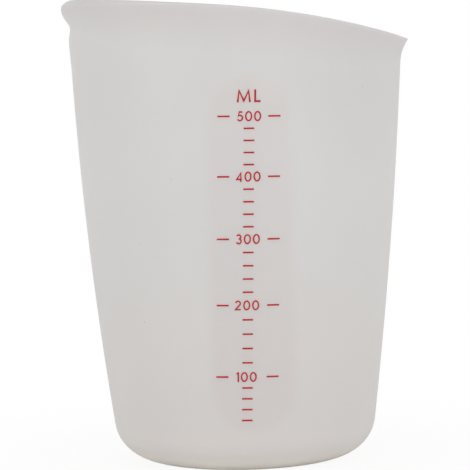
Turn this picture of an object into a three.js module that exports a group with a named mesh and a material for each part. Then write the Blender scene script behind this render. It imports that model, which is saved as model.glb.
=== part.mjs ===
// A one-piece moulded measuring cup with a slanted rim, a flared lip and a printed scale.
// Millimetres, +Z up. The cup stands on Z = 0 with the axis of its foot on X = Y = 0.
// The pouring side faces +X, the high back of the rim -X and the printed scale -Y.

import * as THREE from 'three';
import { mergeVertices } from 'three/addons/utils/BufferGeometryUtils.js';

// Wall and floor of the moulding
const OVERALL_HEIGHT = 135; // top of the rim at the back
const FOOT_DIAMETER = 74.4; // round foot, before its rounding
const MOUTH_LENGTH = 98.4; // outside of the wall at the rim, from back to spout
const MOUTH_WIDTH = 93.5; // outside of the wall at the rim, across
const BACK_BELLY = 2.1; // how far the wall of the back swells past a straight taper at half height
const SPOUT_BELLY = 1.4; // the same on the pouring side
const WALL_THICKNESS = 2;
const FLOOR_THICKNESS = 4.7;
const FOOT_ROUNDING = 10; // radius between the underside and the wall

// Lip, rim and spout
const BACK_LIP_HEIGHT = 4.3; // rolled lip of the back, from its notch to the widest place
const SIDE_LIP_HEIGHT = 13; // long soft flare of the two sides
const SPOUT_LIP_HEIGHT = 6.4; // drawn lip of the spout
const LIP_FLARE = 1.95; // how far the lip stands proud of the wall
const ROLL_FADE = 6; // how soon on the way round from the back the rolled lip turns into the flare
const RIM_CROWN = 2.45; // rounded top of the rolled rim
const CRISP_CROWN = 0.3; // the same on the sides and the spout
const RIM_FALL = 7.64; // straight slope of the rim from back to spout
const SPOUT_DROOP = 5.48; // further fall of the rim along its curve to the spout
const DROOP_START = -5.5; // where that curve begins, along X
const SPOUT_START = 75; // height at which the round wall begins to draw to a point
const SPOUT_POINT = 0.5; // 0 leaves the mouth round, 1 draws it to a square corner

// Shallow window with round ends in which the scale is printed
const WINDOW_WIDTH = 27.6;
const WINDOW_X = 2.9; // its middle line, upright on the wall
const WINDOW_ABOVE_SCALE = 13.3; // from the topmost line to the top of the window
const WINDOW_BELOW_SCALE = 5.2; // from the lowest line to its bottom
const WINDOW_DEPTH = 0.2;
const WINDOW_EDGE = 4; // width of its soft border

// Printed scale: short lines at each step, a pair of long lines at each major step
const RATED_CAPACITY = 500; // millilitres, also the topmost line
const MAJOR_STEP = 100;
const MINOR_STEP = 20;
const LOW_PITCH = 3.1; // distance between the lines below the first major step
const LONG_LINE = 3.38;
const LONG_LINE_GAP = 10.66; // room between a pair of long lines, for their numeral
const SHORT_LINE = 2.95;
const LINE_HEIGHT = 0.6;
const INK_THICKNESS = 0.2;
const INK_CLEARANCE = 0.12; // between the ink and the wall behind it
const SCALE_X = 1.75; // middle of the scale at half of its height
const SCALE_LEAN = 1.7; // degrees by which the print leans towards the spout
const ROW_TILT = -0.87; // degrees by which its rows rise towards the spout
const SCALE_SIDE = -Math.PI / 2; // side of the wall that carries the scale

// Facets
const SIDES = 64;
const FOOT_STEPS = 6;
const WALL_STEPS = 13;
const LIP_STEPS = 5;
const CROWN_STEPS = 6;
const LINE_STEPS = 4;
const LEVEL_STEP = 0.25; // slice height when the capacity is summed
const CUBIC_MM_PER_ML = 1000;

const silicone = new THREE.MeshStandardMaterial({ color: 0xd6d4d0, roughness: 0.55, metalness: 0 });
const ink = new THREE.MeshStandardMaterial({ color: 0xa5233c, roughness: 0.5, metalness: 0 });

const { lerp, clamp, smoothstep, degToRad } = THREE.MathUtils;

// Outside of the wall

function towardsSpout(angle) {
  return (1 + Math.cos(angle)) / 2;
}

function halfSize(mouthSize, angle, z) {
  const rise = z / OVERALL_HEIGHT;
  const belly = lerp(BACK_BELLY, SPOUT_BELLY, towardsSpout(angle));
  return lerp(FOOT_DIAMETER, mouthSize, rise) / 2 + 4 * belly * rise * (1 - rise);
}

function wallPoint(angle, z, inset) {
  const point = SPOUT_POINT * smoothstep(z, SPOUT_START, OVERALL_HEIGHT);
  const widest = 2 * Math.sqrt(1 / (point + 2)) * ((point + 1) / (point + 2)) ** ((point + 1) / 2);
  const narrowing = Math.abs(Math.sin(angle / 2)) ** point / widest;
  const along = halfSize(MOUTH_LENGTH, angle, z) - inset;
  const across = halfSize(MOUTH_WIDTH, angle, z) - inset;
  return new THREE.Vector3(along * Math.cos(angle), across * Math.sin(angle) * narrowing, z);
}

// Rim and lip

function rolledShare(angle) {
  return (1 - towardsSpout(angle)) ** ROLL_FADE;
}

function rimCrown(angle) {
  return lerp(CRISP_CROWN, RIM_CROWN, rolledShare(angle));
}

function rimEdge(angle) {
  const reach = Math.cos(angle) * MOUTH_LENGTH / 2;
  const bend = clamp((reach - DROOP_START) / (MOUTH_LENGTH / 2 - DROOP_START), 0, 1);
  const fall = RIM_FALL * towardsSpout(angle) + SPOUT_DROOP * bend ** 2;
  return OVERALL_HEIGHT - fall - rimCrown(angle);
}

function lipHeight(angle) {
  const endHeight = Math.cos(angle) < 0 ? BACK_LIP_HEIGHT : SPOUT_LIP_HEIGHT;
  return lerp(SIDE_LIP_HEIGHT, endHeight, Math.cos(angle) ** 4);
}

function lipFlare(angle, z) {
  const share = clamp(1 - (rimEdge(angle) - z) / lipHeight(angle), 0, 1);
  const rolled = Math.sin(share * Math.PI / 2);
  return LIP_FLARE * lerp(share ** 2, rolled, rolledShare(angle));
}

// Rings of points at given heights and insets

function ring(heightAt, insetAt) {
  return Array.from({ length: SIDES }, (_, side) => {
    const angle = 2 * Math.PI * side / SIDES;
    const z = heightAt(angle);
    return wallPoint(angle, z, insetAt(angle, z));
  });
}

// Heights of the lines: the major ones stand where the inside holds what they say

function insideArea(z) {
  const rounding = FOOT_ROUNDING - WALL_THICKNESS;
  const below = clamp((FLOOR_THICKNESS + rounding - z) / rounding, 0, 1);
  const inset = WALL_THICKNESS + rounding * (1 - Math.sqrt(1 - below ** 2));
  const outline = ring(() => z, () => inset);
  const twice = outline.reduce((sum, here, side) => {
    const next = outline[(side + 1) % SIDES];
    return sum + here.x * next.y - next.x * here.y;
  }, 0);
  return twice / 2;
}

function levelOf(millilitres) {
  let left = millilitres * CUBIC_MM_PER_ML;
  let z = FLOOR_THICKNESS;
  while (left > 0) {
    const slice = insideArea(z + LEVEL_STEP / 2) * LEVEL_STEP;
    z += LEVEL_STEP * Math.min(1, left / slice);
    left -= slice;
  }
  return z;
}

function lineLevel(millilitres) {
  if (millilitres < MAJOR_STEP) {
    return levelOf(MAJOR_STEP) - LOW_PITCH * (MAJOR_STEP - millilitres) / MINOR_STEP;
  }
  const below = Math.floor(millilitres / MAJOR_STEP) * MAJOR_STEP;
  const share = (millilitres - below) / MAJOR_STEP;
  return lerp(levelOf(below), levelOf(below + MAJOR_STEP), share);
}

function scaleLines() {
  const lines = [];
  const lipFoot = rimEdge(SCALE_SIDE) - lipHeight(SCALE_SIDE);
  for (let amount = MINOR_STEP; amount <= RATED_CAPACITY; amount += MINOR_STEP) {
    const level = lineLevel(amount);
    if (level < lipFoot) {
      lines.push({ amount, level });
    }
  }
  return lines;
}

const scale = scaleLines();
const lowestLine = scale[0].level;
const topmostLine = scale[scale.length - 1].level;

function scaleCentre(z) {
  const middle = (lowestLine + topmostLine) / 2;
  return SCALE_X + Math.tan(degToRad(SCALE_LEAN)) * (z - middle);
}

function windowDepth(x, z) {
  const radius = WINDOW_WIDTH / 2;
  const bottom = lowestLine - WINDOW_BELOW_SCALE + radius;
  const top = topmostLine + WINDOW_ABOVE_SCALE - radius;
  const distance = Math.hypot(x - WINDOW_X, z - clamp(z, bottom, top));
  return WINDOW_DEPTH * smoothstep(radius - distance, 0, WINDOW_EDGE);
}

// Skin of the cup: up the outside, over the rim and down the inside

function footRings(bottom, radius, inset) {
  return Array.from({ length: FOOT_STEPS }, (_, step) => {
    const turn = Math.PI / 2 * step / FOOT_STEPS;
    const z = bottom + radius * (1 - Math.cos(turn));
    return ring(() => z, () => inset + radius * (1 - Math.sin(turn)));
  });
}

function wallRings(bottom, insetAt) {
  const rings = [];
  const lipFoot = (angle) => rimEdge(angle) - lipHeight(angle);
  for (let step = 0; step < WALL_STEPS; step += 1) {
    rings.push(ring((angle) => lerp(bottom, lipFoot(angle), step / WALL_STEPS), insetAt));
  }
  for (let step = 0; step <= LIP_STEPS; step += 1) {
    const below = 1 - step / LIP_STEPS;
    rings.push(ring((angle) => rimEdge(angle) - lipHeight(angle) * below, insetAt));
  }
  return rings;
}

function crownRings() {
  const rings = [];
  for (let step = 1; step < CROWN_STEPS; step += 1) {
    const turn = Math.PI * step / CROWN_STEPS;
    const inset = WALL_THICKNESS * (1 - Math.cos(turn)) / 2;
    const height = (angle) => rimEdge(angle) + rimCrown(angle) * Math.sin(turn);
    rings.push(ring(height, (angle) => inset - lipFlare(angle, rimEdge(angle))));
  }
  return rings;
}

function outsideInset(angle, z) {
  const onScaleSide = Math.sin(angle) < 0;
  const x = wallPoint(angle, z, 0).x;
  return (onScaleSide ? windowDepth(x, z) : 0) - lipFlare(angle, z);
}

function insideInset(angle, z) {
  return WALL_THICKNESS - lipFlare(angle, z);
}

// Closed skin over a run of rings, with a flat fan at each end

function skin(firstCentre, rings, lastCentre) {
  const points = [firstCentre, ...rings.flat(), lastCentre];
  const at = (row, side) => 1 + row * SIDES + side % SIDES;
  const lastRow = rings.length - 1;
  const triangles = [];
  for (let side = 0; side < SIDES; side += 1) {
    triangles.push(0, at(0, side + 1), at(0, side));
    for (let row = 0; row < lastRow; row += 1) {
      triangles.push(at(row, side), at(row, side + 1), at(row + 1, side + 1));
      triangles.push(at(row, side), at(row + 1, side + 1), at(row + 1, side));
    }
    triangles.push(points.length - 1, at(lastRow, side), at(lastRow, side + 1));
  }
  const geometry = new THREE.BufferGeometry().setFromPoints(points);
  geometry.setIndex(triangles);
  geometry.computeVertexNormals();
  return geometry;
}

function cupBody() {
  const innerRounding = FOOT_ROUNDING - WALL_THICKNESS;
  const outside = [
    ...footRings(0, FOOT_ROUNDING, 0),
    ...wallRings(FOOT_ROUNDING, outsideInset),
  ];
  const inside = [
    ...footRings(FLOOR_THICKNESS, innerRounding, WALL_THICKNESS),
    ...wallRings(FLOOR_THICKNESS + innerRounding, insideInset),
  ];
  const rings = [...outside, ...crownRings(), ...inside.reverse()];
  const underside = new THREE.Vector3(0, 0, 0);
  const floor = new THREE.Vector3(0, 0, FLOOR_THICKNESS);
  return new THREE.Mesh(skin(underside, rings, floor), silicone);
}

// Printed lines: flat strips of ink that follow the wall

function printedLine(name, start, length, level) {
  const geometry = new THREE.BoxGeometry(length, INK_THICKNESS, LINE_HEIGHT, LINE_STEPS, 1, 1);
  const middle = scaleCentre(level) + start + length / 2;
  const position = geometry.attributes.position;
  for (let index = 0; index < position.count; index += 1) {
    const x = middle + position.getX(index);
    const rise = Math.tan(degToRad(ROW_TILT)) * (x - scaleCentre(level));
    const z = level + rise + position.getZ(index);
    const proud = INK_CLEARANCE + INK_THICKNESS / 2 - position.getY(index);
    const angle = -Math.acos(x / halfSize(MOUTH_LENGTH, SCALE_SIDE, z));
    const place = wallPoint(angle, z, windowDepth(x, z) - proud);
    position.setXYZ(index, place.x, place.y, place.z);
  }
  geometry.deleteAttribute('normal');
  geometry.deleteAttribute('uv');
  const welded = mergeVertices(geometry);
  welded.computeVertexNormals();
  const mesh = new THREE.Mesh(welded, ink);
  mesh.name = name;
  return mesh;
}

function printedScale() {
  const lines = new THREE.Group();
  for (const { amount, level } of scale) {
    const label = String(amount).padStart(3, '0');
    if (amount % MAJOR_STEP === 0) {
      const inner = LONG_LINE_GAP / 2;
      lines.add(printedLine(`mark_${label}_left`, -inner - LONG_LINE, LONG_LINE, level));
      lines.add(printedLine(`mark_${label}_right`, inner, LONG_LINE, level));
    } else {
      lines.add(printedLine(`tick_${label}`, -SHORT_LINE / 2, SHORT_LINE, level));
    }
  }
  return lines;
}

const cup = new THREE.Group();
const body = cupBody();
body.name = 'cup_body';
cup.add(body, printedScale());

export default cup;
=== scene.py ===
import math

import bmesh
import bpy
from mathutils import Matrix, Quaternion, Vector


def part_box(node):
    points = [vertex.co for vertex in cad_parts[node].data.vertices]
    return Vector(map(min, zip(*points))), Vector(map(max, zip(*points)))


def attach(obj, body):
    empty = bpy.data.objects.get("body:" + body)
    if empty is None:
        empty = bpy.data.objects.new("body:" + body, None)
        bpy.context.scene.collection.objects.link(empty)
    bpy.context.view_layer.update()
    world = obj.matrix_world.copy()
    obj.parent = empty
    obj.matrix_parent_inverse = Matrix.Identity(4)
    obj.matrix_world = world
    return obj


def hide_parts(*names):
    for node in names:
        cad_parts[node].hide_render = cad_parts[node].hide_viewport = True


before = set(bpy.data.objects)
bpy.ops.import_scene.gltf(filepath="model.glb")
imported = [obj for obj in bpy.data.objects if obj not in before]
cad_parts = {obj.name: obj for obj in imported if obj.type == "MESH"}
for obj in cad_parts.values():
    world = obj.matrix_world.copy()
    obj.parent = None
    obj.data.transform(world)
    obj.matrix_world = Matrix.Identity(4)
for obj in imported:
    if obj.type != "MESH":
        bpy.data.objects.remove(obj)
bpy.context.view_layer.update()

# The shapes are drawn in millimetres and scaled to metres when a mesh is finished.
METRES_PER_MM = 0.001

# Wall and floor of the moulding
CUP_HEIGHT = 135
FOOT_RADIUS = 37.2
MOUTH_LENGTH = 98.4
MOUTH_WIDTH = 93.5
BACK_BELLY = 2.1
SPOUT_BELLY = 1.4
WALL = 2
FLOOR = 4.7
FOOT_ROUNDING = 10

# Lip, rim and spout. LIP_TURN, ROLL_FADE and SPOUT_POINT are powers that shape a change round the rim.
BACK_LIP_HEIGHT = 4.3
SIDE_LIP_HEIGHT = 13
SPOUT_LIP_HEIGHT = 6.4
LIP_TURN = 4
LIP_FLARE = 1.95
ROLL_FADE = 6
RIM_CROWN = 2.45
CRISP_CROWN = 0.3
CREST_LEAN = 1.6
RIM_FALL = 7.64
SPOUT_DROOP = 5.48
DROOP_START = -5.5
SPOUT_START = 75
SPOUT_POINT = 0.5

# Groove and swell under the rolled back of the lip, by distance below the rim's edge
NECK_TOP = 4
NECK = 5.6
NECK_END = 9
NECK_DEPTH = 0.38
SWELL = 10.5
SWELL_END = 17
SWELL_HEIGHT = 0.22

# Shallow window behind the scale
WINDOW_WIDTH = 27.6
WINDOW_X = 2.9
WINDOW_TOP = 114.25
WINDOW_BOTTOM = 10.74
WINDOW_DEPTH = 0.2
WINDOW_EDGE = 4

# Printed scale
FULL_AMOUNT = 500
MAJOR_STEP = 100
MINOR_STEP = 20
LOW_PITCH = 3.1
LONG_LINE = 3.38
LONG_LINE_GAP = 10.66
SHORT_LINE = 2.95
LINE_WIDTH = 0.46
SCALE_X = 1.75
SCALE_LEAN = math.radians(1.7)
SCALE_MIDDLE = 58.45
ROW_TILT = math.radians(-0.87)
SCALE_SIDE = -math.pi / 2
NUMERAL_HEIGHT = 2.8
NUMERAL_PEN = 0.42
NUMERAL_GAP = 0.5
NUMERAL_LEAN = math.radians(0.26)
UNIT_HEIGHT = 3.45
UNIT_PEN = 0.52
UNIT_BASE = 104.76
UNIT_GAP = 0.92
INK_SUNK = 0.03
INK_PROUD = 0.05
SHARPEST_MITRE = 2.2
LEAST_COSINE = 0.01

# Fineness of the meshes
TURN_STEPS = 256
FOOT_SEGMENTS = 12
CROWN_SEGMENTS = 5
OUTSIDE_ROWS = 180
INSIDE_ROWS = 50
FLAT_RINGS = 10
LINE_STEPS = 6
ARC_STEPS = 16
HOOK_STEPS = 14
OVAL_STEPS = 40
MERGE_DISTANCE = 0.001
ON_WALL = 0.01

# Colours in screen levels from 0 to 255
# The LOW_WALL, MOUTH, WINDOW and LIP colours are painted shade and the FOOT colour is painted light; the
# rest are the silicone's and ink's own colours.
LOW_WALL_SHADE_COLOUR = (223, 218, 214)
HIGH_WALL_COLOUR = (224, 222, 221)
MOUTH_SHADE_COLOUR = (219, 217, 215)
FOOT_PAINTED_LIGHT_COLOUR = (252, 245, 233)
CLOUD_COLOUR = (219, 216, 216)
WINDOW_SHADE_COLOUR = (219, 210, 209)
LIP_SHADE_COLOUR = (207, 203, 203)
DUST_COLOUR = (150, 146, 142)
DARK_INK_COLOUR = (186, 4, 14)
LIGHT_INK_COLOUR = (198, 10, 22)
FLOOR_COLOUR = (246, 246, 245)

# Heights where the wall's painted shade and the foot's painted light begin and end, in metres
WALL_SHADE_TOP = 0.09
MOUTH_SHADE_BOTTOM = 0.08
MOUTH_SHADE_TOP = 0.115
FOOT_PAINTED_LIGHT_TOP = 0.0055

# Shares of the tints at their fullest; the window and lip tints are painted shade, the cloud and dust
# the silicone's own
CLOUD_TINT = 0.35
WINDOW_SHADE_TINT = 0.4
LIP_SHADE_TINT = 0.9
DUST_TINT = 0.3

# Sizes of the surface patterns, as scales to a metre
CLOUD_SCALE = 26
WAVE_SCALE = 45
DUST_SCALE = 110
GLOSS_SCALE = 170
GRAIN_SCALE = 2600
INK_GLOSS_SCALE = 700
INK_MOTTLE_SCALE = 1500

# Stretches of the patterns that are used, from lowest to highest
NOISE_STRETCH = (0.3, 0.7)
CLOUD_STRETCH = (0.35, 0.7)
DUST_EDGE = (0.02, 0.035)
DUST_CHOICE = (0.8, 0.81)

# Roughness from smoothest to dullest, and bumps as a strength and a depth in metres
SILICONE_ROUGHNESS = (0.46, 0.6)
INK_ROUGHNESS = (0.42, 0.56)
WAVE_BUMP = (0.25, 0.0006)
GRAIN_BUMP = (0.12, 0.00008)
INK_BUMP = (0.15, 0.00006)

# Studio and camera, in metres and watts, with the lens and its sensor in millimetres
SURROUND_LIGHT = 0.6
FLOOR_SIZE = 3
SHADOW_REACH = 0.14
SHADOW_SHARE = 0.1
CUP_MIDDLE = (0, 0, 0.06)
SIDE_SHARES = {"left": (-1, 0.95), "right": (1, 1)}
SIDE_LAMPS = {
    "softbox": {"place": (1.1, -0.35, 0.25), "size": 0.8, "power": 1},
    "low_fill": {"place": (0.7, -0.8, 0.11), "size": 0.2, "power": 1.6},
    "rear_fill": {"place": (0.35, 1.15, 0.4), "size": 0.8, "power": 0.8},
}
OVERHEAD_PLACE = (0, 0, 1.2)
OVERHEAD_TARGET = (0, 0, 0)
OVERHEAD_SIZE = 1
OVERHEAD_POWER = 1.4
CAMERA_PLACE = (0, -0.6315, 0.11176)
CAMERA_TARGET = (-0.00177, 0, 0.06512)
CAMERA_ROLL = -0.0247
CAMERA_LENS = 163.9
CAMERA_SENSOR = 36


def clamp(value, low, high):
    return max(low, min(high, value))


def lerp(start, end, share):
    return start + (end - start) * share


def smooth_step(value, low, high):
    share = clamp((value - low) / (high - low), 0, 1)
    return share * share * (3 - 2 * share)


# Wall, rim and window of the cup, by angle round the axis from the spout and by height


def towards_spout(angle):
    """0 at the back of the cup and 1 at the spout."""
    return (1 + math.cos(angle)) / 2


def half_size(mouth, angle, z):
    """Half the length or width of the wall at a height, with the belly fullest halfway up."""
    rise = z / CUP_HEIGHT
    belly = lerp(BACK_BELLY, SPOUT_BELLY, towards_spout(angle))
    return lerp(FOOT_RADIUS, mouth / 2, rise) + 4 * belly * rise * (1 - rise)


def wall_point(angle, z, inset):
    """A point of the wall, whose round plan draws to a point at the spout and keeps its width."""
    point = SPOUT_POINT * smooth_step(z, SPOUT_START, CUP_HEIGHT)
    widest = 2 * math.sqrt(1 / (point + 2)) * ((point + 1) / (point + 2)) ** ((point + 1) / 2)
    narrowing = abs(math.sin(angle / 2)) ** point / widest
    along = (half_size(MOUTH_LENGTH, angle, z) - inset) * math.cos(angle)
    across = (half_size(MOUTH_WIDTH, angle, z) - inset) * math.sin(angle) * narrowing
    return Vector((along, across, z))


def rolled_share(angle):
    """1 where the lip is rolled at the back, fading out round the sides."""
    return (1 - towards_spout(angle)) ** ROLL_FADE


def rim_crown(angle):
    return lerp(CRISP_CROWN, RIM_CROWN, rolled_share(angle))


def rim_edge(angle):
    """Height where the wall ends and the crown of the rim begins."""
    reach = math.cos(angle) * MOUTH_LENGTH / 2
    bend = clamp((reach - DROOP_START) / (MOUTH_LENGTH / 2 - DROOP_START), 0, 1)
    fall = RIM_FALL * towards_spout(angle) + SPOUT_DROOP * bend ** 2
    return CUP_HEIGHT - fall - rim_crown(angle)


def lip_share(angle, z):
    """How far up the lip a height is, from 0 at its foot to 1 at the edge of the rim."""
    end_height = BACK_LIP_HEIGHT if math.cos(angle) < 0 else SPOUT_LIP_HEIGHT
    height = lerp(SIDE_LIP_HEIGHT, end_height, math.cos(angle) ** LIP_TURN)
    return clamp(1 - (rim_edge(angle) - z) / height, 0, 1)


def lip_flare(angle, share):
    """How far the lip stands out from the wall."""
    rolled = math.sin(share * math.pi / 2)
    return LIP_FLARE * lerp(share ** 2, rolled, rolled_share(angle))


def neck_inset(angle, z):
    """Depth of the shallow groove under the rolled part of the lip, less the slight swell below it."""
    below = rim_edge(angle) - z
    groove = smooth_step(below, NECK_TOP, NECK) * (1 - smooth_step(below, NECK, NECK_END))
    swell = smooth_step(below, NECK, SWELL) * (1 - smooth_step(below, SWELL, SWELL_END))
    return rolled_share(angle) * (NECK_DEPTH * groove - SWELL_HEIGHT * swell)


def scale_centre(z):
    """Place of the leaning middle line of the scale at a height."""
    return SCALE_X + math.tan(SCALE_LEAN) * (z - SCALE_MIDDLE)


def window_share(x, z):
    """1 inside the window with round ends, fading out over its soft edge."""
    radius = WINDOW_WIDTH / 2
    nearest = clamp(z, WINDOW_BOTTOM + radius, WINDOW_TOP - radius)
    distance = math.hypot(x - WINDOW_X, z - nearest)
    return smooth_step(radius - distance, 0, WINDOW_EDGE)


def on_scale_side(x, z, proud):
    """A point on the wall of the scale's side, so far proud of its surface."""
    angle = -math.acos(x / half_size(MOUTH_LENGTH, SCALE_SIDE, z))
    return wall_point(angle, z, WINDOW_DEPTH * window_share(x, z) - proud)


def finished(name, bm, material):
    """The bmesh as a smooth piece in metres that belongs to the cup."""
    bmesh.ops.scale(bm, vec=(METRES_PER_MM,) * 3, verts=bm.verts)
    mesh = bpy.data.meshes.new(name)
    bm.to_mesh(mesh)
    bm.free()
    mesh.shade_smooth()
    mesh.materials.append(material)
    piece = bpy.data.objects.new(name, mesh)
    bpy.context.scene.collection.objects.link(piece)
    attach(piece, "root")
    return piece


# The moulded cup


def turned_blank():
    """A beaker with a straight wall, turned from its half section with rounded corners."""
    bm = bmesh.new()
    section = [
        (0, 0),
        (FOOT_RADIUS, 0),
        (FOOT_RADIUS, CUP_HEIGHT),
        (FOOT_RADIUS - WALL, CUP_HEIGHT),
        (FOOT_RADIUS - WALL, FLOOR),
        (0, FLOOR),
    ]
    corners = [bm.verts.new((radius, 0, height)) for radius, height in section]
    for ends in zip(corners, corners[1:]):
        bm.edges.new(ends)
    foot, outer_rim, inner_rim, inner_foot = corners[1:5]
    roundings = [
        ([foot], FOOT_ROUNDING, FOOT_SEGMENTS),
        ([inner_foot], FOOT_ROUNDING - WALL, FOOT_SEGMENTS),
        ([outer_rim, inner_rim], WALL / 2, CROWN_SEGMENTS),
    ]
    for rounded, radius, segments in roundings:
        bmesh.ops.bevel(
            bm, geom=rounded, offset=radius, segments=segments, profile=0.5,
            affect="VERTICES", material=-1,
        )
    bmesh.ops.remove_doubles(bm, verts=bm.verts, dist=MERGE_DISTANCE)
    inside_radius = FOOT_RADIUS - WALL
    for radius, rows in ((FOOT_RADIUS, OUTSIDE_ROWS), (inside_radius, INSIDE_ROWS)):
        wall = [edge for edge in bm.edges if all(abs(v.co.x - radius) < ON_WALL for v in edge.verts)]
        bmesh.ops.subdivide_edges(bm, edges=wall, cuts=rows)
    flats = [edge for edge in bm.edges if any(v.co.x == 0 for v in edge.verts)]
    bmesh.ops.subdivide_edges(bm, edges=flats, cuts=FLAT_RINGS)
    bmesh.ops.spin(
        bm, geom=bm.verts[:] + bm.edges[:], cent=(0, 0, 0), axis=(0, 0, 1),
        angle=math.tau, steps=TURN_STEPS, use_merge=True,
    )
    bmesh.ops.remove_doubles(bm, verts=bm.verts, dist=MERGE_DISTANCE)
    bmesh.ops.recalc_face_normals(bm, faces=bm.faces)
    return bm


def crest_share(height):
    """How far up the blank's rounded rim a ring is."""
    return clamp(1 - (CUP_HEIGHT - height) / (WALL / 2), 0, 1)


def moulded_height(angle, height):
    """Height on the cup of a ring of the blank: kept at the foot, drawn up to the rim above it."""
    crown_start = CUP_HEIGHT - WALL / 2
    wall_start = FLOOR + FOOT_ROUNDING - WALL
    if height > crown_start:
        return rim_edge(angle) + rim_crown(angle) * crest_share(height)
    if height > wall_start:
        return lerp(wall_start, rim_edge(angle), (height - wall_start) / (crown_start - wall_start))
    return height


def cup_body(material):
    """The blank reshaped into the cup, with its window and lip kept as attributes."""
    bm = turned_blank()
    window = bm.verts.layers.float.new("window")
    lip = bm.verts.layers.float.new("lip")
    flat_radius = FOOT_RADIUS - FOOT_ROUNDING
    for vert in bm.verts:
        radius = math.hypot(vert.co.x, vert.co.y)
        angle = math.atan2(vert.co.y, vert.co.x)
        z = moulded_height(angle, vert.co.z)
        inset = FOOT_RADIUS - max(radius, flat_radius)
        outside = inset < WALL / 2
        if outside and angle < 0:
            vert[window] = window_share(wall_point(angle, z, 0).x, z)
        vert[lip] = lip_share(angle, min(z, rim_edge(angle)))
        inset += WINDOW_DEPTH * vert[window] + neck_inset(angle, z)
        inset += CREST_LEAN * rolled_share(angle) * crest_share(vert.co.z) ** 2
        inset -= lip_flare(angle, vert[lip])
        place = wall_point(angle, z, inset)
        on_flat = min(1, radius / flat_radius)
        vert.co = (place.x * on_flat, place.y * on_flat, z)
    bmesh.ops.recalc_face_normals(bm, faces=bm.faces)
    piece = finished("moulded_cup", bm, material)
    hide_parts("cup_body")


# Printed lines, numerals and unit letters: flat pen strokes laid on the wall


def long_line_level(amount):
    """Height of a pair of long lines, midway between its two solids."""
    heights = [corner.z for end in ("left", "right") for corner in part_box(f"mark_{amount:03d}_{end}")]
    return sum(heights) / len(heights) / METRES_PER_MM


MAJOR_LEVELS = {
    amount: long_line_level(amount) for amount in range(MAJOR_STEP, FULL_AMOUNT + 1, MAJOR_STEP)
}


def arc(centre, radius, start, end, steps=ARC_STEPS, height=None):
    """Points on an arc or, where a height is given, on an oval, from one angle to another in degrees."""
    points = []
    for step in range(steps + 1):
        angle = math.radians(lerp(start, end, step / steps))
        rise = radius if height is None else height
        points.append((centre[0] + radius * math.cos(angle), centre[1] + rise * math.sin(angle)))
    return points


def across_pen(path, index):
    """Half a pen's width across the path at one of its points, lengthened to a mitre at a corner."""
    here = Vector(path[index])
    arriving = here - Vector(path[max(index - 1, 0)])
    leaving = Vector(path[min(index + 1, len(path) - 1)]) - here
    if path[0] == path[-1] and index in (0, len(path) - 1):
        arriving = here - Vector(path[-2])
        leaving = Vector(path[1]) - here
    arriving = arriving.normalized() if arriving.length else leaving.normalized()
    leaving = leaving.normalized() if leaving.length else arriving
    along = (arriving + leaving).normalized()
    mitre = min(SHARPEST_MITRE, 1 / max(along.dot(arriving), LEAST_COSINE))
    return Vector((-along.y, along.x)) * mitre / 2


def pen_stroke(bm, path, width):
    """A flat stroke drawn out of the pen's edge along a path, across X and up Z."""
    edge = None
    for index, point in enumerate(path):
        side = across_pen(path, index) * width
        ends = (Vector(point) + side, Vector(point) - side)
        if edge is None:
            edge = bm.edges.new([bm.verts.new((end.x, 0, end.y)) for end in ends])
            pair = list(edge.verts)
            continue
        drawn = bmesh.ops.extrude_edge_only(bm, edges=[edge])["geom"]
        following = [item for item in drawn if isinstance(item, bmesh.types.BMVert)]
        following.sort(key=lambda vert: (vert.co - pair[0].co).length)
        for vert, end in zip(following, ends):
            vert.co = (end.x, 0, end.y)
        edge = next(item for item in drawn if isinstance(item, bmesh.types.BMEdge))
        pair = following


# Width and pen paths of each glyph, in shares of its height
GLYPHS = {
    "0": (0.56, [arc((0.28, 0.43), 0.28, 90, 450, OVAL_STEPS, 0.43)]),
    "1": (0.18, [[(0, 0.76), (0.18, 0.84)], [(0.18, -0.08), (0.18, 0.92)]]),
    "2": (0.5, [arc((0.24, 0.62), 0.23, 165, -35, HOOK_STEPS) + [(0.0, 0.01), (0.52, 0.01)]]),
    "3": (0.5, [arc((0.25, 0.65), 0.2, 155, -90), arc((0.25, 0.23), 0.24, 90, -155)]),
    "4": (0.5, [[(0.4, -0.08), (0.4, 0.8), (0.0, 0.16), (0.5, 0.16)]]),
    "5": (0.5, [[(0.5, 0.84), (0.2, 0.84), (0.1, 0.46)] + arc((0.25, 0.26), 0.26, 120, -150)]),
    "M": (0.98, [[(0.0, -0.07), (0.11, 0.84), (0.49, 0.04), (0.87, 0.84), (0.98, -0.07)]]),
    "L": (0.43, [[(0.0, 0.93), (0.0, 0.0), (0.43, 0.0)]]),
}


def print_text(bm, text, base, height, gap, pen):
    """Glyphs in a row, centred on the numerals' own line, with pen strokes of one width."""
    widths = [GLYPHS[letter][0] * height + pen for letter in text]
    middle = math.tan(NUMERAL_LEAN) * (base - UNIT_BASE)
    start = middle - (sum(widths) + gap * (len(text) - 1)) / 2
    for letter, width in zip(text, widths):
        for path in GLYPHS[letter][1]:
            placed = [(start + pen / 2 + x * height, base + pen / 2 + y * height) for x, y in path]
            pen_stroke(bm, placed, pen)
        start += width + gap


def line_path(start, length, level):
    return [(start + length * step / LINE_STEPS, level) for step in range(LINE_STEPS + 1)]


def printed_film(name, bm, material):
    """The flat strokes as a thin film of ink that follows the wall."""
    bmesh.ops.remove_doubles(bm, verts=bm.verts, dist=MERGE_DISTANCE)
    film = bmesh.ops.extrude_face_region(bm, geom=bm.faces[:])["geom"]
    front = [item for item in film if isinstance(item, bmesh.types.BMVert)]
    bmesh.ops.translate(bm, verts=front, vec=(0, -INK_SUNK - INK_PROUD, 0))
    bmesh.ops.recalc_face_normals(bm, faces=bm.faces)
    for vert in bm.verts:
        x = scale_centre(vert.co.z) + vert.co.x
        z = vert.co.z + math.tan(ROW_TILT) * vert.co.x
        vert.co = on_scale_side(x, z, -INK_SUNK - vert.co.y)
    piece = finished(name, bm, material)
    piece.visible_shadow = False
    return piece


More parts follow.
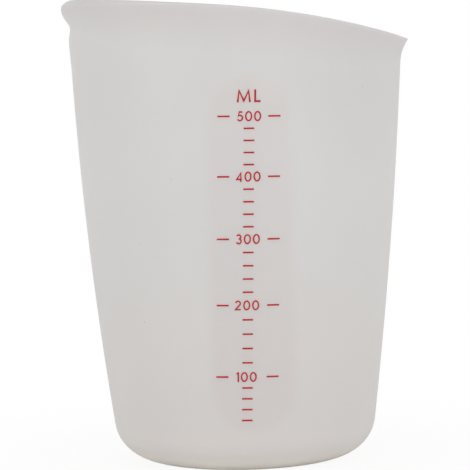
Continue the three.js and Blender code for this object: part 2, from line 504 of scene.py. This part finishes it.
def minor_levels():
    """Heights of the short lines, by their amount."""
    levels = {}
    for amount in range(MINOR_STEP, max(MAJOR_LEVELS), MINOR_STEP):
        below = amount // MAJOR_STEP * MAJOR_STEP
        if amount < MAJOR_STEP:
            levels[amount] = MAJOR_LEVELS[MAJOR_STEP] - LOW_PITCH * (MAJOR_STEP - amount) / MINOR_STEP
        elif amount > below:
            share = (amount - below) / MAJOR_STEP
            levels[amount] = lerp(MAJOR_LEVELS[below], MAJOR_LEVELS[below + MAJOR_STEP], share)
    return levels


def scale_lines(material):
    bm = bmesh.new()
    nodes = []
    inner = LONG_LINE_GAP / 2
    for amount, level in MAJOR_LEVELS.items():
        pen_stroke(bm, line_path(-inner - LONG_LINE, LONG_LINE, level), LINE_WIDTH)
        pen_stroke(bm, line_path(inner, LONG_LINE, level), LINE_WIDTH)
        nodes += [f"mark_{amount:03d}_left", f"mark_{amount:03d}_right"]
    for amount, level in minor_levels().items():
        pen_stroke(bm, line_path(-SHORT_LINE / 2, SHORT_LINE, level), LINE_WIDTH)
        nodes.append(f"tick_{amount:03d}")
    piece = printed_film("scale_lines", bm, material)
    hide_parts(*nodes)


def scale_numerals(material):
    bm = bmesh.new()
    for amount, level in MAJOR_LEVELS.items():
        base = level - NUMERAL_HEIGHT / 2
        print_text(bm, str(amount), base, NUMERAL_HEIGHT, NUMERAL_GAP, NUMERAL_PEN)
    printed_film("scale_numerals", bm, material)


def unit_letters(material):
    bm = bmesh.new()
    print_text(bm, "ML", UNIT_BASE, UNIT_HEIGHT, UNIT_GAP, UNIT_PEN)
    printed_film("unit_letters", bm, material)


# Materials


def linear(*levels):
    """A colour written in 0 to 255 screen levels, as the shader's linear colour."""
    shares = [level / 255 for level in levels]
    return tuple(((s + 0.055) / 1.055) ** 2.4 for s in shares) + (1,)


class Finish:
    """A node material on Object coordinates with one Principled shader."""

    def __init__(self, name):
        self.material = bpy.data.materials.new(name)
        self.material.use_nodes = True
        self.tree = self.material.node_tree
        self.shader = self.tree.nodes["Principled BSDF"]
        self.place = self.add("ShaderNodeTexCoord").outputs["Object"]

    def add(self, kind, **settings):
        node = self.tree.nodes.new(kind)
        for name, value in settings.items():
            setattr(node, name, value)
        return node

    def join(self, source, target):
        self.tree.links.new(source, target)

    def noise(self, scale, detail):
        node = self.add("ShaderNodeTexNoise")
        node.inputs["Scale"].default_value = scale
        node.inputs["Detail"].default_value = detail
        self.join(self.place, node.inputs["Vector"])
        return node.outputs["Fac"]

    def spread(self, value, low, high, to_low, to_high, interpolation="LINEAR"):
        node = self.add("ShaderNodeMapRange", interpolation_type=interpolation)
        for socket, number in zip(node.inputs[1:5], (low, high, to_low, to_high)):
            socket.default_value = number
        self.join(value, node.inputs["Value"])
        return node.outputs["Result"]

    def multiply(self, first, second):
        node = self.add("ShaderNodeMath", operation="MULTIPLY")
        self.join(first, node.inputs[0])
        if isinstance(second, (int, float)):
            node.inputs[1].default_value = second
        else:
            self.join(second, node.inputs[1])
        return node.outputs["Value"]

    def tint(self, share, base, colour):
        """The base colour, a socket or levels, turned to another by a share."""
        node = self.add("ShaderNodeMix", data_type="RGBA")
        self.join(share, node.inputs["Factor"])
        for socket, value in ((node.inputs[6], base), (node.inputs[7], colour)):
            if isinstance(value, tuple):
                socket.default_value = value
            else:
                self.join(value, socket)
        return node.outputs[2]

    def bump(self, layers):
        """Bump layers of height, strength and depth in metres, one on another."""
        normal = None
        for height, strength, depth in layers:
            node = self.add("ShaderNodeBump")
            node.inputs["Strength"].default_value = strength
            node.inputs["Distance"].default_value = depth
            self.join(height, node.inputs["Height"])
            if normal is not None:
                self.join(normal, node.inputs["Normal"])
            normal = node.outputs["Normal"]
        self.join(normal, self.shader.inputs["Normal"])


def milky_silicone():
    finish = Finish("milky_silicone")
    shader = finish.shader
    shader.inputs["IOR"].default_value = 1.41
    shader.inputs["Subsurface Weight"].default_value = 0.7
    shader.inputs["Subsurface Radius"].default_value = (1, 0.98, 0.96)
    shader.inputs["Subsurface Scale"].default_value = 0.006

    split = finish.add("ShaderNodeSeparateXYZ")
    finish.join(finish.place, split.inputs["Vector"])
    # Painted shade: the wall grades warmer and a little darker towards the bottom, standing in for the
    # warm shade and ground reflection near the floor.
    rise = finish.spread(split.outputs["Z"], 0, WALL_SHADE_TOP, 0, 1, "SMOOTHSTEP")
    colour = finish.tint(rise, linear(*LOW_WALL_SHADE_COLOUR), linear(*HIGH_WALL_COLOUR))
    # Painted shade: the upper wall towards the mouth is darkened in the colour, to offset the extra
    # light it gets from above.
    mouth = finish.spread(
        split.outputs["Z"], MOUTH_SHADE_BOTTOM, MOUTH_SHADE_TOP, 0, 1, "SMOOTHSTEP"
    )
    colour = finish.tint(mouth, colour, linear(*MOUTH_SHADE_COLOUR))
    # Painted light: the lowest few millimetres are lightened and warmed to stand in for light bounced up
    # from the floor.
    foot = finish.spread(split.outputs["Z"], 0, FOOT_PAINTED_LIGHT_TOP, 1, 0, "SMOOTHSTEP")
    colour = finish.tint(foot, colour, linear(*FOOT_PAINTED_LIGHT_COLOUR))

    cloud = finish.spread(finish.noise(CLOUD_SCALE, detail=3), *CLOUD_STRETCH, 0, CLOUD_TINT)
    colour = finish.tint(cloud, colour, linear(*CLOUD_COLOUR))

    # Painted shade: the thinner wall of the window lets more of the dark inside through, and that darker
    # look is painted into the colour.
    window = finish.add("ShaderNodeAttribute", attribute_name="window")
    window_shade = finish.multiply(window.outputs["Fac"], WINDOW_SHADE_TINT)
    colour = finish.tint(window_shade, colour, linear(*WINDOW_SHADE_COLOUR))

    # Painted shade: the flared lip faces slightly downwards, so its band is darkened in the colour.
    lip = finish.add("ShaderNodeAttribute", attribute_name="lip")
    lip_shade = finish.multiply(lip.outputs["Fac"], LIP_SHADE_TINT)
    colour = finish.tint(lip_shade, colour, linear(*LIP_SHADE_COLOUR))

    cells = finish.add("ShaderNodeTexVoronoi")
    cells.inputs["Scale"].default_value = DUST_SCALE
    finish.join(finish.place, cells.inputs["Vector"])
    dust = finish.spread(cells.outputs["Distance"], *DUST_EDGE, 1, 0)
    chosen = finish.add("ShaderNodeSeparateColor")
    finish.join(cells.outputs["Color"], chosen.inputs["Color"])
    few = finish.spread(chosen.outputs["Red"], *DUST_CHOICE, 0, DUST_TINT)
    colour = finish.tint(finish.multiply(dust, few), colour, linear(*DUST_COLOUR))
    finish.join(colour, shader.inputs["Base Color"])

    gloss = finish.spread(finish.noise(GLOSS_SCALE, detail=4), *NOISE_STRETCH, *SILICONE_ROUGHNESS)
    finish.join(gloss, shader.inputs["Roughness"])
    waves = finish.noise(WAVE_SCALE, detail=2)
    grain = finish.noise(GRAIN_SCALE, detail=2)
    finish.bump([(waves, *WAVE_BUMP), (grain, *GRAIN_BUMP)])
    return finish.material


def crimson_ink():
    finish = Finish("crimson_ink")
    shader = finish.shader
    mottle = finish.spread(finish.noise(INK_MOTTLE_SCALE, detail=3), *NOISE_STRETCH, 0, 1)
    colour = finish.tint(mottle, linear(*DARK_INK_COLOUR), linear(*LIGHT_INK_COLOUR))
    finish.join(colour, shader.inputs["Base Color"])
    gloss = finish.spread(finish.noise(INK_GLOSS_SCALE, detail=3), *NOISE_STRETCH, *INK_ROUGHNESS)
    finish.join(gloss, shader.inputs["Roughness"])
    finish.bump([(finish.noise(GRAIN_SCALE, detail=2), *INK_BUMP)])
    return finish.material


# Studio: pale floor, white surround, soft lamps and the camera


def seen_directly(tree):
    """1 for what the camera sees and 0 for what lights the cup."""
    return tree.nodes.new("ShaderNodeLightPath").outputs["Is Camera Ray"]


def studio_world(light):
    """An even surround that the camera sees as white."""
    world = bpy.data.worlds.new("studio_surround")
    world.use_nodes = True
    tree = world.node_tree
    glow = tree.nodes["Background"]
    glow.inputs["Color"].default_value = (1, 1, 1, 1)
    glow.inputs["Strength"].default_value = light
    white = tree.nodes.new("ShaderNodeBackground")
    white.inputs["Color"].default_value = (1, 1, 1, 1)
    white.inputs["Strength"].default_value = 1
    mix = tree.nodes.new("ShaderNodeMixShader")
    tree.links.new(seen_directly(tree), mix.inputs["Fac"])
    tree.links.new(glow.outputs["Background"], mix.inputs[1])
    tree.links.new(white.outputs["Background"], mix.inputs[2])
    tree.links.new(mix.outputs["Shader"], tree.nodes["World Output"].inputs["Surface"])
    bpy.context.scene.world = world


def studio_floor(size, shadow_reach, shadow_share):
    """A pale floor that the camera sees as white, but for a faint shadow near the cup."""
    bm = bmesh.new()
    bmesh.ops.create_grid(bm, x_segments=4, y_segments=4, size=size)
    mesh = bpy.data.meshes.new("studio_floor")
    bm.to_mesh(mesh)
    bm.free()
    floor = bpy.data.objects.new("studio_floor", mesh)
    bpy.context.scene.collection.objects.link(floor)
    material = bpy.data.materials.new("pale_floor")
    material.use_nodes = True
    tree = material.node_tree
    paper = tree.nodes["Principled BSDF"]
    paper.inputs["Base Color"].default_value = linear(*FLOOR_COLOUR)
    paper.inputs["Roughness"].default_value = 0.9
    paper.inputs["Specular IOR Level"].default_value = 0
    white = tree.nodes.new("ShaderNodeEmission")
    white.inputs["Strength"].default_value = 1
    place = tree.nodes.new("ShaderNodeTexCoord")
    distance = tree.nodes.new("ShaderNodeVectorMath")
    distance.operation = "LENGTH"
    tree.links.new(place.outputs["Object"], distance.inputs[0])
    fade = tree.nodes.new("ShaderNodeMapRange")
    fade.interpolation_type = "SMOOTHSTEP"
    for socket, number in zip(fade.inputs[1:5], (0, shadow_reach, 1 - shadow_share, 1)):
        socket.default_value = number
    tree.links.new(distance.outputs["Value"], fade.inputs["Value"])
    share = tree.nodes.new("ShaderNodeMath")
    share.operation = "MULTIPLY"
    tree.links.new(seen_directly(tree), share.inputs[0])
    tree.links.new(fade.outputs["Result"], share.inputs[1])
    mix = tree.nodes.new("ShaderNodeMixShader")
    tree.links.new(share.outputs["Value"], mix.inputs["Fac"])
    tree.links.new(paper.outputs["BSDF"], mix.inputs[1])
    tree.links.new(white.outputs["Emission"], mix.inputs[2])
    tree.links.new(mix.outputs["Shader"], tree.nodes["Material Output"].inputs["Surface"])
    mesh.materials.append(material)


def soft_lamp(name, place, target, size, power):
    lamp = bpy.data.lights.new(name, "AREA")
    lamp.shape = "SQUARE"
    lamp.size = size
    lamp.energy = power
    stand = bpy.data.objects.new(name, lamp)
    stand.location = place
    stand.rotation_mode = "QUATERNION"
    stand.rotation_quaternion = (Vector(target) - Vector(place)).to_track_quat("-Z", "Y")
    bpy.context.scene.collection.objects.link(stand)


def photo_camera():
    place = Vector(CAMERA_PLACE)
    aim = (Vector(CAMERA_TARGET) - place).to_track_quat("-Z", "Y")
    camera = bpy.data.cameras.new("photo_camera")
    camera.sensor_width = CAMERA_SENSOR
    camera.lens = CAMERA_LENS
    stand = bpy.data.objects.new("photo_camera", camera)
    stand.location = place
    stand.rotation_mode = "QUATERNION"
    stand.rotation_quaternion = aim @ Quaternion((0, 0, 1), CAMERA_ROLL)
    bpy.context.scene.collection.objects.link(stand)
    bpy.context.scene.camera = stand


photo_camera()
silicone = milky_silicone()
ink = crimson_ink()
cup_body(silicone)
scale_lines(ink)
scale_numerals(ink)
unit_letters(ink)

studio_world(SURROUND_LIGHT)
studio_floor(FLOOR_SIZE, SHADOW_REACH, SHADOW_SHARE)
for side, (direction, share) in SIDE_SHARES.items():
    for lamp, setting in SIDE_LAMPS.items():
        x, y, z = setting["place"]
        power = setting["power"] * share
        soft_lamp(f"{side}_{lamp}", (direction * x, y, z), CUP_MIDDLE, setting["size"], power)
soft_lamp("overhead_softbox", OVERHEAD_PLACE, OVERHEAD_TARGET, OVERHEAD_SIZE, OVERHEAD_POWER)
bpy.context.scene.view_settings.view_transform = "Standard"
